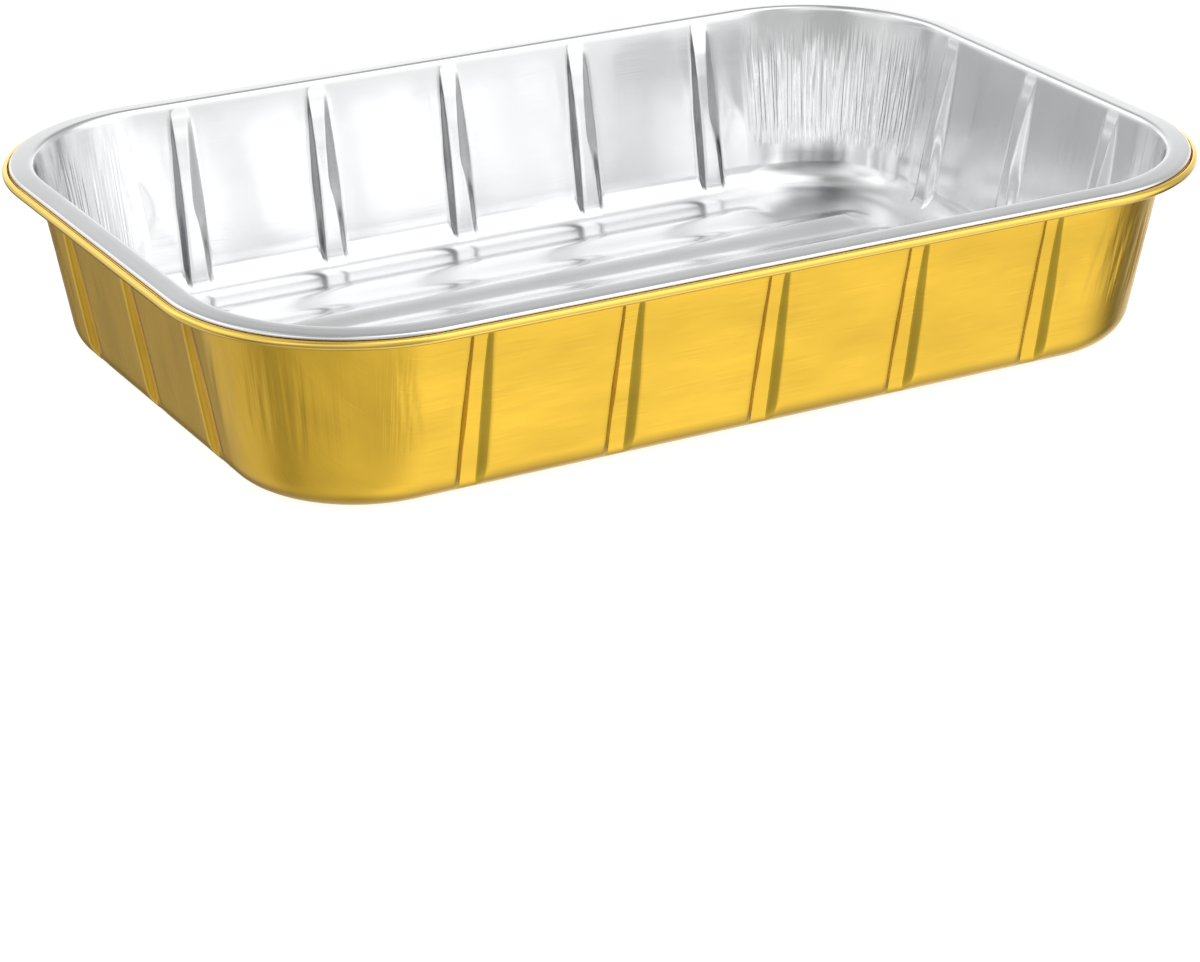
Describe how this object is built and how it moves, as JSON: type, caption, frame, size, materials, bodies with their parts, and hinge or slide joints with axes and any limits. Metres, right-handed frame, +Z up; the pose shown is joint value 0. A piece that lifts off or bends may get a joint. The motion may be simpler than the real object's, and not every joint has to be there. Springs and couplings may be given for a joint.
{
  "type": "foil roasting pan",
  "caption": "Pressed foil roasting pan with rounded corners, ribbed walls and floor, a flat flange and a rolled edge.",
  "frame": {"origin": "middle of the footprint, on the surface that the pan stands on", "axes": "+X along the pan, +Y across it, +Z up through its open top"},
  "size_m": [0.32, 0.215, 0.057],
  "materials": {
    "foil": "bright rolled foil, gold lacquer outside and bare silver inside"
  },
  "bodies": {
    "root": {"pan": "foil"}
  },
  "joints": []
}
